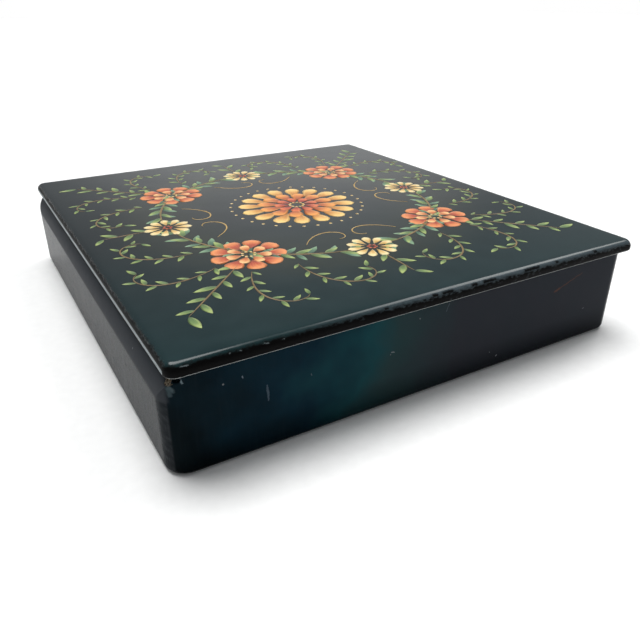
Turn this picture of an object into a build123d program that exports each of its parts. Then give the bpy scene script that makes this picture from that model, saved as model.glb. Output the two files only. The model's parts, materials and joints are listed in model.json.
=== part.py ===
from build123d import *
import os

# A flat lacquered papier-mache box with a lid that is hinged along its left wall.
# Origin: middle of the footprint, on the surface that the box stands on.
# +X runs right along the front wall, +Y to the back, +Z up. Sizes are in millimetres.

# Walls, wound as one ring round a wooden form, with the left one rounded off on top for the lid to turn
cavity_width = 187.5
cavity_depth = 203.0
form_corner_radius = 1.5
wall_thickness = 6.0
wall_height = 36.0
wall_foot_round = 2.0
wall_lip_round = 0.6
shoulder_radius = 10.0

# Floor board, let into a rebate at the foot of the walls
bottom_thickness = 3.5
rebate_depth = 1.5
glue_gap = 0.1

# Lid board, crowned on top and flat underneath, set in from the left wall and past the other three
lid_overhang = 2.0
lid_inset = 1.5
lid_corner_radius = 4.0
lid_edge = 4.6
lid_crown = 1.6
crown_margin = 12.0
nose_top_round = 3.0
nose_foot_round = 1.2

# Rim strips under the lid, which drop into the mouth of the walls
rim_drop = 6.0
rim_thickness = 3.0
rim_lead_round = 0.8
lid_play = 0.5

# Two hinges in the wedge between the shoulder and the lid, each of two leaves and a pin
hinge_spacing = 132.0
pivot_inset = 3.5
pivot_drop = 0.9
knuckle_radius = 1.2
middle_knuckle = 12.0
end_knuckle = 8.0
knuckle_gap = 0.2
pin_radius = 0.5
pin_play = 0.05
leaf_thickness = 0.7
leaf_sink = 0.05
wall_leaf_depth = 9.0
lid_leaf_reach = 12.0
hinge_clearance = 0.3

# Outlines that follow from the sizes above
body_width = cavity_width + 2 * wall_thickness
body_depth = cavity_depth + 2 * wall_thickness
body_corner_radius = form_corner_radius + wall_thickness
body_middle = -lid_overhang / 2
body_left = body_middle - body_width / 2
rebate_width = cavity_width + 2 * rebate_depth
rebate_length = cavity_depth + 2 * rebate_depth
rebate_corner_radius = form_corner_radius + rebate_depth
lid_width = body_width - lid_inset + lid_overhang
lid_depth = body_depth + 2 * lid_overhang
lid_middle = body_middle + (lid_inset + lid_overhang) / 2
lid_underside = wall_height
rim_width = cavity_width - 2 * lid_play
rim_depth = cavity_depth - 2 * lid_play
rim_corner_radius = form_corner_radius - lid_play
rim_bottom = lid_underside - rim_drop
pivot_x = body_left + pivot_inset
pivot_z = lid_underside - pivot_drop
hinge_length = middle_knuckle + 2 * (knuckle_gap + end_knuckle)
hinge_places = {"front": -hinge_spacing / 2, "back": hinge_spacing / 2}

# A cutter runs past the faces that it opens by this much
cut_past = 1.0


def rounded_block(middle, width, depth, corner_radius, bottom, top):
    """A slab with rounded upright corners, with its middle at the given X."""
    plan = RectangleRounded(width, depth, corner_radius)
    return Pos(middle, 0, bottom) * extrude(plan, top - bottom)


def slab(left, right, place, length, bottom, top):
    """A square-edged slab between two X and two Z, of the given length along Y about the given place."""
    middle = Pos((left + right) / 2, place, (bottom + top) / 2)
    return middle * Box(right - left, length, top - bottom)


def barrel(radius, length, place):
    """A cylinder round a hinge's axis, with its middle at the given Y."""
    return Pos(pivot_x, place, pivot_z) * Rot(90, 0, 0) * Cylinder(radius, length)


def hinge_bed(place):
    """The room that a hinge's barrel takes out of the wall and the lid."""
    return barrel(knuckle_radius + hinge_clearance, hinge_length + 2 * hinge_clearance, place)


def shoulder_cutter():
    """What is shaved off the left wall's upper edge to leave a quarter round along it."""
    start = body_left + shoulder_radius
    low = wall_height - shoulder_radius
    outside = slab(
        body_left - cut_past, start, 0, body_depth + 2 * cut_past, low, wall_height + cut_past
    )
    left_standing = Cylinder(shoulder_radius, body_depth + 4 * cut_past)
    return outside - Pos(start, 0, low) * Rot(90, 0, 0) * left_standing


def wall_leaf_plate(place, room):
    """A wall leaf without its knuckles: a plate that stands in the wall under the axis, grown by room."""
    half = leaf_thickness / 2 + room
    length = hinge_length + 2 * room
    return slab(pivot_x - half, pivot_x + half, place, length, pivot_z - wall_leaf_depth - room, pivot_z)


def lid_leaf_plate(place, room):
    """A lid leaf without its knuckle: a plate just behind the lid's underside, grown by room."""
    bottom = lid_underside + leaf_sink
    length = middle_knuckle + 2 * room
    return slab(
        pivot_x - room,
        pivot_x + lid_leaf_reach + room,
        place,
        length,
        bottom - room,
        bottom + leaf_thickness + room,
    )


def wall_ring():
    """The four walls in one ring, with a rebate for the floor, a soft foot and lip, and the hinges' seats."""
    block = rounded_block(body_middle, body_width, body_depth, body_corner_radius, 0, wall_height)
    foot = block.faces().sort_by(Axis.Z)[0].edges()
    block = fillet(foot, wall_foot_round)
    cavity = rounded_block(
        body_middle, cavity_width, cavity_depth, form_corner_radius, -cut_past, wall_height + cut_past
    )
    rebate = rounded_block(
        body_middle, rebate_width, rebate_length, rebate_corner_radius, -cut_past, bottom_thickness
    )
    ring = block - cavity - rebate
    lip = ring.faces().sort_by(Axis.Z)[-1].edges()
    ring = fillet(lip, wall_lip_round) - shoulder_cutter()
    for place in hinge_places.values():
        ring = ring - hinge_bed(place) - wall_leaf_plate(place, glue_gap)
    return ring


def bottom_board():
    """The floor, flush with the foot of the walls and seated against the rebate's shoulder."""
    return rounded_block(
        body_middle,
        rebate_width - 2 * glue_gap,
        rebate_length - 2 * glue_gap,
        rebate_corner_radius - glue_gap,
        0,
        bottom_thickness,
    )


def crown_face():
    """The lid's top face: a patch with level borders that lie outside the lid, raised in the middle."""
    half_width = lid_width / 2 + crown_margin
    half_depth = lid_depth / 2 + crown_margin
    border = lid_underside + lid_edge
    # The middle point of a patch of three by three points pulls with a quarter of its height.
    peak = border + 4 * lid_crown
    across = [-half_width, 0, half_width]
    along = [-half_depth, 0, half_depth]
    points = [
        [(lid_middle + x, y, peak if x == 0 and y == 0 else border) for y in along] for x in across
    ]
    return Face.make_bezier_surface(points)


def lid_board():
    """The lid, cut to the crown on top, with a nose rounder above than below and the hinges' seats."""
    full_height = lid_edge + lid_crown
    block = rounded_block(
        lid_middle,
        lid_width,
        lid_depth,
        lid_corner_radius,
        lid_underside,
        lid_underside + full_height + cut_past,
    )
    under_crown = Solid.extrude(crown_face(), (0, 0, -full_height - cut_past))
    board = block & under_crown
    top_edge = board.faces().sort_by(Axis.Z)[-1].edges()
    board = fillet(top_edge, nose_top_round)
    bottom_edge = board.faces().sort_by(Axis.Z)[0].edges()
    board = fillet(bottom_edge, nose_foot_round)
    for place in hinge_places.values():
        board = board - hinge_bed(place) - lid_leaf_plate(place, glue_gap)
    return board


def rim_frame():
    """The four rim strips before they are parted at the mitres, eased where they enter the mouth."""
    block = rounded_block(body_middle, rim_width, rim_depth, rim_corner_radius, rim_bottom, lid_underside)
    lead = block.faces().sort_by(Axis.Z)[0].edges()
    block = fillet(lead, rim_lead_round)
    inside = Box(
        rim_width - 2 * rim_thickness, rim_depth - 2 * rim_thickness, 2 * (lid_underside + cut_past)
    )
    return block - Pos(body_middle, 0, 0) * inside


def mitre_wedge(length):
    """The plan of one strip with its ends cut at 45 degrees, as a block that takes in the strip's height."""
    reach = rim_thickness + cut_past
    half = length / 2
    corners = [(-half, 0), (half, 0), (half - reach, reach), (reach - half, reach)]
    plan = make_face(Polyline(*corners, close=True))
    return Pos(0, 0, rim_bottom - cut_past) * extrude(plan, rim_drop + 2 * cut_past)


def rim_strips():
    """The four strips by side, each parted from the frame by its own wedge."""
    frame = rim_frame()
    seats = {
        "front": (Pos(body_middle, -rim_depth / 2), rim_width),
        "right": (Pos(body_middle + rim_width / 2, 0) * Rot(0, 0, 90), rim_depth),
        "back": (Pos(body_middle, rim_depth / 2) * Rot(0, 0, 180), rim_width),
        "left": (Pos(body_middle - rim_width / 2, 0) * Rot(0, 0, -90), rim_depth),
    }
    return {side: frame & (seat * mitre_wedge(length)) for side, (seat, length) in seats.items()}


def pin_bore(place):
    """The hole through a hinge's knuckles."""
    return barrel(pin_radius + pin_play, hinge_length + 2 * cut_past, place)


def hinge_wall_leaf(place):
    """The leaf in the wall: its plate, cleared for the lid's knuckle, and the two end knuckles."""
    room = barrel(knuckle_radius + hinge_clearance, middle_knuckle + 2 * knuckle_gap, place)
    leaf = wall_leaf_plate(place, 0) - room
    offset = middle_knuckle / 2 + knuckle_gap + end_knuckle / 2
    for side in (-1, 1):
        leaf = leaf + barrel(knuckle_radius, end_knuckle, place + side * offset)
    return leaf - pin_bore(place)


def hinge_lid_leaf(place):
    """The leaf in the lid: its plate and the middle knuckle."""
    leaf = lid_leaf_plate(place, 0) + barrel(knuckle_radius, middle_knuckle, place)
    return leaf - pin_bore(place)


def hinge_pin(place):
    """The pin, as long as the barrel that it runs through."""
    return barrel(pin_radius, hinge_length, place)


def build():
    """Every piece of the box by its node's name."""
    pieces = {
        "wall_ring": wall_ring(),
        "bottom_board": bottom_board(),
        "lid_board": lid_board(),
    }
    for side, strip in rim_strips().items():
        pieces[f"rim_strip_{side}"] = strip
    for end, place in hinge_places.items():
        pieces[f"hinge_wall_leaf_{end}"] = hinge_wall_leaf(place)
        pieces[f"hinge_lid_leaf_{end}"] = hinge_lid_leaf(place)
        pieces[f"hinge_pin_{end}"] = hinge_pin(place)
    return pieces


os.makedirs("parts", exist_ok=True)
for node, piece in build().items():
    export_step(piece, f"parts/{node}.step")
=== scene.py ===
import json
import logging
import math
from collections.abc import Mapping, Sequence
from dataclasses import dataclass, field
from enum import Enum
from functools import partial

import bmesh
import bpy
from bpy.types import ID, Material, Mesh, NodeSocket as Socket, NodeTree, Object
from mathutils import Matrix, Vector, noise


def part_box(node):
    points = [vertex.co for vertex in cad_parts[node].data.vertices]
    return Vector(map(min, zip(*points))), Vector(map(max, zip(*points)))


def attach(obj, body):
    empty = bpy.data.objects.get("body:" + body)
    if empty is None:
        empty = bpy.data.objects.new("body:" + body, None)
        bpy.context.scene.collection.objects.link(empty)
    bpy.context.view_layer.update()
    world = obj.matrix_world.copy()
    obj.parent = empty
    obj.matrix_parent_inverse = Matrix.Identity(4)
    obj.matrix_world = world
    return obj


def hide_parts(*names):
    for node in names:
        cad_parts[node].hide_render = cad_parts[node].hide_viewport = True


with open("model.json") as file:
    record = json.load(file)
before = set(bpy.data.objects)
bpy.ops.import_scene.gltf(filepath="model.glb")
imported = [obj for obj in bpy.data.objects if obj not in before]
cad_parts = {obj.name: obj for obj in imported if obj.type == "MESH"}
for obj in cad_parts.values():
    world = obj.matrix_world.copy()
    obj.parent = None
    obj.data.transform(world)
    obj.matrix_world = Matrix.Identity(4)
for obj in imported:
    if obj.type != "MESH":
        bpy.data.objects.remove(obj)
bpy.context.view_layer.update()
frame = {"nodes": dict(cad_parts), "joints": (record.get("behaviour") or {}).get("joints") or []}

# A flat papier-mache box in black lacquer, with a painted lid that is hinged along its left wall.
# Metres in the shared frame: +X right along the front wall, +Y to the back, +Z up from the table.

MM = 0.001
log = logging.getLogger("lacquer_box")

# Sockets of a Mix node that mixes colours
SHARE, LOW, HIGH = 0, 6, 7

# Index of refraction of oil lacquer and varnish
VARNISH_IOR = 1.5

# What patches that wander between 0 and 1 mostly keep to
USUAL = (0.3, 0.7)

# Types that recur
Pair = tuple[float, float]
Triple = tuple[float, float, float]
Stops = tuple[tuple[float, str], ...]
Lines = Sequence[Sequence[Vector]]


class Body(Enum):
    """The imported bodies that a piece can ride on."""

    BOX = "box"
    LID = "lid"


class Slot(Enum):
    """The record's material slots."""

    WALL = "black_lacquer"
    LID = "painted_lid_lacquer"


def linear(colour: str) -> tuple[float, float, float, float]:
    """Turn an sRGB hex colour into linear light.

    Args:
        colour: Six hex digits after a hash sign.

    Returns:
        Red, green and blue in linear light, and an alpha of 1.
    """
    channels = [int(colour[i : i + 2], 16) / 255 for i in (1, 3, 5)]
    lit = [c / 12.92 if c <= 0.04045 else ((c + 0.055) / 1.055) ** 2.4 for c in channels]
    return lit[0], lit[1], lit[2], 1.0


def add_node(
    tree: NodeTree,
    kind: str,
    inputs: Mapping[str | int, object] | Sequence[object] = (),
    stops: Stops = (),
    out: str = "",
    **settings: object,
) -> Socket | None:
    """Add a node with its settings and links.

    Args:
        tree: The tree that takes the node.
        kind: Blender's name for the type of node, where ShaderNode may be left out.
        inputs: Sockets to link, hex colours or other values, in order or by an input's name or number.
        stops: Places and hex colours along a colour ramp.
        out: The output to hand back, if it isn't the first one in use.
        settings: Attributes of the node itself.

    Returns:
        One of its outputs, which also knows its node, or nothing where there is none.
    """
    node = tree.nodes.new(kind if "Node" in kind else f"ShaderNode{kind}")
    for name, value in settings.items():
        setattr(node, name, value)
    given = inputs if isinstance(inputs, Mapping) else dict(enumerate(inputs))
    for name, value in given.items():
        if isinstance(value, Socket):
            tree.links.new(value, node.inputs[name])
        else:
            node.inputs[name].default_value = linear(value) if isinstance(value, str) else value
    for number, (place, colour) in enumerate(stops):
        ramp = node.color_ramp.elements
        stop = ramp[number] if number < 2 else ramp.new(place)
        stop.position, stop.color = place, linear(colour)
    return node.outputs[out] if out else next((each for each in node.outputs if each.enabled), None)


class FinishTree:
    """A finish in the making: its material, what adds its nodes, and its coordinates."""

    def __init__(self, name: str) -> None:
        """Start a material with an empty tree.

        Args:
            name: What the material really is.
        """
        self.material = bpy.data.materials.new(name)
        self.material.use_nodes = True
        self.material.node_tree.nodes.clear()
        self.add = partial(add_node, self.material.node_tree)
        self.place = self.add("TexCoord", out="Object")
        self.stroke = self.place.node.outputs["UV"]

    def close(
        self,
        colour: Socket | str,
        coats: Sequence[tuple[Socket, Socket | str]],
        reliefs: Sequence[tuple[Socket, float]] = (),
        **surface: object,
    ) -> Material:
        """Lay the coats, press in the reliefs and give the material its shader.

        Args:
            colour: The ground's colour.
            coats: Where each coat lies, and its colour.
            reliefs: Height and depth of each relief.
            surface: The shader's other inputs, by their names with underscores for spaces.

        Returns:
            The finished material.
        """
        for share, over in coats:
            colour = self.add("Mix", {SHARE: share, LOW: colour, HIGH: over}, data_type="RGBA")
        inputs = {"Base Color": colour, "IOR": VARNISH_IOR}
        inputs |= {name.replace("_", " "): value for name, value in surface.items()}
        relief: dict[str, Socket] = {}
        for height, depth in reliefs:
            relief = {"Normal": self.add("Bump", {"Height": height, "Distance": depth, **relief})}
        self.add("OutputMaterial", {"Surface": self.add("BsdfPrincipled", {**inputs, **relief})})
        return self.material

    def patches(self, size: Triple | float, detail: float = 3.0, turn: Triple = (0, 0, 0)) -> Socket:
        """Lay soft, irregular patches over the piece.

        Args:
            size: Length of a patch, or its lengths along X, Y and Z.
            detail: How many finer layers roughen it.
            turn: The pattern's rotation.

        Returns:
            A value that wanders between 0 and 1.
        """
        lengths = size if isinstance(size, tuple) else (size,) * 3
        grid = {"Vector": self.place, "Rotation": turn, "Scale": lengths}
        counted = self.add("Mapping", grid, vector_type="TEXTURE")
        return self.add("TexNoise", {"Vector": counted, "Scale": 1.0, "Detail": detail})

    def specks(self, spacing: float, share: float) -> Socket:
        """Scatter small marks of many sizes.

        Args:
            spacing: Distance between marks.
            share: Radius of the largest mark as a share of that distance.

        Returns:
            1 inside a mark and 0 elsewhere.
        """
        gap = self.add("TexVoronoi", {"Vector": self.place, "Scale": 1 / spacing})
        luck = self.add("SeparateColor", {"Color": gap.node.outputs["Color"]})
        radius = self.add("Math", (luck, share), operation="MULTIPLY")
        return self.add("Math", (gap, radius), operation="LESS_THAN")

    def shaken(self, size: float, amount: float) -> Socket:
        """Shake the coordinates, so that what is drawn on them gets a ragged rim.

        Args:
            size: Length of one wobble.
            amount: How far it goes.

        Returns:
            The shaken coordinates.
        """
        wave = {"Vector": self.place, "Scale": 1 / size, "Detail": 2.0}
        wobble = self.add("TexNoise", wave, out="Color")
        swing = self.add("VectorMath", (wobble, (0.5,) * 3), operation="SUBTRACT")
        return self.add("VectorMath", (swing, (amount,) * 3, self.place), operation="MULTIPLY_ADD")

    def scratch(self, place: Socket, start: Vector, end: Vector, width: float) -> Socket:
        """Draw one straight scratch, soft at its sides.

        Args:
            place: The coordinates that it is drawn on.
            start: Where it begins.
            end: Where it ends.
            width: How wide it is.

        Returns:
            1 along its middle, falling to 0 at its sides.
        """
        run = end - start
        offset = self.add("VectorMath", (place, start), operation="SUBTRACT")
        ahead = (offset, run / run.length_squared)
        share = self.add("VectorMath", ahead, operation="DOT_PRODUCT")
        held = self.add("Clamp", {"Value": share})
        nearest = self.add("VectorMath", {0: run, "Scale": held}, operation="SCALE")
        gap = self.add("VectorMath", (offset, nearest), operation="DISTANCE")
        # It is full over the middle third of its width.
        return self.add("MapRange", (gap, width / 2, width / 6))


@dataclass(frozen=True)
class WallLacquer:
    """Black oil lacquer, brushed on in many coats over papier-mache and dulled by years of handling.

    The eye gets a near black with painted reflection tints that drift along the front from blue-black
    through teal to a warm grey, painted shade towards the foot, fine upright brush marks, a grey rubbed
    bloom on the hinge side that is partly painted sheen, painted light on the shoulder, a few scratches
    and pinholes, and brown board where the corner is broken, with a painted reflection on its facet, a
    painted shadow in its notch and a painted glint at its rim.
    """

    # Colours of the painted reflection tint from the left end of the front to its right end, where along
    # them the two ends lie, and how far clouds push them
    drift: Stops = (
        (0.06, "#01060B"), (0.2, "#05202D"), (0.31, "#143E44"), (0.4, "#24383A"), (0.6, "#2A2B31")
    )
    drift_ends: Pair = (-0.2, 0.8)
    drift_push: float = 0.4
    # Painted shade that darkens the walls towards the table
    foot: str = "#010304"
    cloud: str = "#182A2E"
    streak: str = "#2A3034"
    # The bloom is partly rubbed haze and partly a painted sheen
    haze_and_painted_sheen: str = "#34373A"
    # Painted light that lifts the shade on the shoulder
    shoulder_painted_light: str = "#33363A"
    board: str = "#2A2016"
    board_light: str = "#8E8270"
    dust: str = "#5C6062"
    cloud_size: float = 30 * MM
    veil_size: Triple = (11 * MM, 11 * MM, 16 * MM)
    veil_turn: Triple = (0.4, 0.2, 0.7)
    veil_share: float = 0.3
    # How high the painted shade at the foot reaches, and how strong it is at the bottom
    foot_rise: float = 12 * MM
    foot_share: float = 0.7
    # Brush hairs leave marks about 0.3 mm apart. They are drawn coarser, so that they show.
    brush_mark: Triple = (0.9 * MM, 0.9 * MM, 14 * MM)
    brush_ridge: float = 0.0015 * MM
    streak_band: Pair = (0.5, 0.8)
    streak_share: float = 0.06
    rub_mark: Triple = (2 * MM, 5 * MM, 1.3 * MM)
    rub_turn: Triple = (0.5, 0, 0)
    pinhole_spacing: float = 9 * MM
    pinhole_share: float = 0.045
    fibre_size: float = 0.5 * MM
    fibre_band: Pair = (0.4, 0.66)
    fibre_relief: float = 0.3 * MM
    # How far the fibre frays the rim of the bare board, and where it counts as bare
    fray: float = 0.8
    bare_band: Pair = (0.85, 1.05)
    # Length and reach of the wobble along a scratch
    wobble: Pair = (1.2 * MM, 1.0 * MM)
    wave_size: float = 16 * MM
    wave_relief: float = 0.1 * MM
    # Where the bloom, which is partly painted sheen, ends and where it is full, in from the hinge side
    bloom_reach: Pair = (2.3 * MM, 1.7 * MM)
    # The painted light on the shoulder, which evens its shade to slate: how far in it reaches, where it
    # starts in from both ends and down from the top
    shoulder_reach: float = 8 * MM
    shoulder_ends: Pair = (1.5 * MM, 3 * MM)
    shoulder_drop: Pair = (9.8 * MM, 8.6 * MM)
    # Hand-rubbed oil lacquer that has lost its polish gives back little light head-on.
    shine: float = 0.02
    gloss: Pair = (0.2, 0.25)
    # What rubbing, the shoulder and bare board add to the roughness
    dulling: Triple = (0.08, 0.22, 0.5)
    # Start, end and width in millimetres and colour of each mark on the front and the near corner. The four
    # on the near corner are painted light.
    marks_and_painted_light: tuple[tuple[Triple, Triple, float, str], ...] = (
        ((58.6, -107.5, 26.2), (72.7, -107.5, 31.0), 0.7, "#4A352E"),
        ((58.3, -107.5, 26.1), (60.8, -107.5, 26.9), 1.4, "#4E362F"),
        ((-68.1, -107.5, 24.1), (-67.7, -107.5, 18.4), 0.9, "#3E4A54"),
        ((2.2, -107.5, 31.7), (3.2, -107.5, 34.6), 0.5, "#454A50"),
        ((-20.9, -107.5, 21.8), (-19.8, -107.5, 21.6), 0.6, "#6A6E72"),
        ((30.2, -107.5, 5.3), (30.5, -107.5, 5.5), 0.7, "#74767A"),
        ((78.0, -107.5, 14.0), (78.4, -107.5, 14.1), 0.7, "#5E6066"),
        ((-76.0, -107.5, 29.8), (-75.9, -107.5, 29.2), 0.7, "#67707A"),
        ((-52.4, -107.5, 22.9), (-52.2, -107.5, 22.6), 0.6, "#4E565E"),
        # Painted reflection on the flattened facet of the near corner
        ((-97.9, -105.6, 31.7), (-97.3, -106.2, 31.2), 2.6, "#3E4A4E"),
        ((-98.0, -105.6, 30.6), (-97.8, -105.9, 29.6), 2.0, "#364246"),
        # Painted shadow in the notch of the near corner
        ((-96.5, -106.5, 34.5), (-95.3, -107.0, 34.1), 1.9, "#020203"),
        # Painted glint on the rim of the notch
        ((-94.6, -107.2, 34.5), (-94.2, -107.3, 33.2), 0.8, "#66747A"),
    )

    def material(self, low: Vector, high: Vector) -> Material:
        """Build the material.

        Args:
            low: Lowest corner of the walls, where the rubbed face and the scratched one meet.
            high: Highest corner of the walls.

        Returns:
            The finished material.
        """
        finish = FinishTree("black_oil_lacquer")
        add = finish.add
        x, y, z = add("SeparateXYZ", (finish.place,)).node.outputs
        # The painted reflection tint along the front, with thin clouds, painted shade at the foot and brush
        # marks
        drifting = finish.patches(self.cloud_size)
        run = add("MapRange", (x, low.x, high.x, *self.drift_ends))
        loose = add("Math", (drifting, self.drift_push, run), operation="MULTIPLY_ADD")
        colour = add("ValToRGB", (loose,), stops=self.drift)
        thin = finish.patches(self.veil_size, detail=4.0, turn=self.veil_turn)
        veil = add("MapRange", (thin, 0, 1, 0, self.veil_share))
        painted_foot_shade = add("MapRange", (z, 0, self.foot_rise, self.foot_share, 0))
        brushed = finish.patches(self.brush_mark, detail=2.0)
        hairs = add("MapRange", (brushed, *self.streak_band, 0, self.streak_share))
        # Painted light that evens the shoulder's shade, and the bloom on the hinge side, which is partly
        # rubbed haze and partly painted sheen
        inward = add("Math", (x, low.x + self.shoulder_reach), operation="LESS_THAN")
        along = add("Math", (y,), operation="ABSOLUTE")
        between = add("MapRange", (along, *(high.y - end for end in self.shoulder_ends)))
        above = add("MapRange", (z, *(high.z - drop for drop in self.shoulder_drop), 0, between))
        shoulder = add("Math", (inward, above), operation="MULTIPLY")
        reach = [low.x + inset for inset in self.bloom_reach]
        side = add("MapRange", (x, *reach), interpolation_type="SMOOTHSTEP")
        rub = finish.patches(self.rub_mark, detail=4.0, turn=self.rub_turn)
        rubbed_and_sheen = add("Math", (side, rub), operation="MULTIPLY")
        # Bare, fibrous board where the corner is broken
        fibre = finish.patches(self.fibre_size, detail=4.0)
        teased = add("MapRange", (fibre, *self.fibre_band))
        two_tone = {SHARE: teased, LOW: self.board, HIGH: self.board_light}
        paper = add("Mix", two_tone, data_type="RGBA")
        broken = add("Attribute", out="Fac", attribute_type="GEOMETRY", attribute_name="bare_board")
        ragged = add("Math", (fibre, self.fray, broken), operation="MULTIPLY_ADD")
        bare = add("MapRange", (ragged, *self.bare_band))
        pinholes = finish.specks(self.pinhole_spacing, self.pinhole_share)
        coats = [(veil, self.cloud), (painted_foot_shade, self.foot), (hairs, self.streak), (rubbed_and_sheen, self.haze_and_painted_sheen)]
        coats += [(shoulder, self.shoulder_painted_light), (pinholes, self.dust), (bare, paper)]
        place = finish.shaken(*self.wobble)
        for start, end, width, shade in self.marks_and_painted_light:
            coats.append((finish.scratch(place, Vector(start) * MM, Vector(end) * MM, width * MM), shade))
        dull = add("MapRange", (brushed, *USUAL, *self.gloss))
        for share, more in zip((rubbed_and_sheen, shoulder, bare), self.dulling):
            dull = add("Math", (share, more, dull), operation="MULTIPLY_ADD")
        torn = add("Math", (bare, fibre), operation="MULTIPLY")
        waves = finish.patches(self.wave_size, detail=2.0)
        reliefs = ((waves, self.wave_relief), (brushed, self.brush_ridge), (torn, self.fibre_relief))
        return finish.close(colour, coats, reliefs, Roughness=dull, Specular_IOR_Level=self.shine)


@dataclass(frozen=True)
class EdgeMarks:
    """Marks along the lid's front edge: both ends of each in millimetres, and where they all lie."""

    ends: tuple[Pair, ...]
    inset: float
    rise: float
    width: float

    def draw(self, finish: FinishTree, place: Socket, low: Vector) -> list[Socket]:
        """Draw the marks.

        Args:
            finish: The finish that they are part of.
            place: The coordinates that they are drawn on.
            low: Lowest corner of the lid.

        Returns:
            A mask for each mark.
        """
        drawn = []
        for pair in self.ends:
            start, end = (Vector((x * MM, low.y + self.inset, low.z + self.rise)) for x in pair)
            drawn.append(finish.scratch(place, start, end, self.width))
        return drawn


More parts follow.
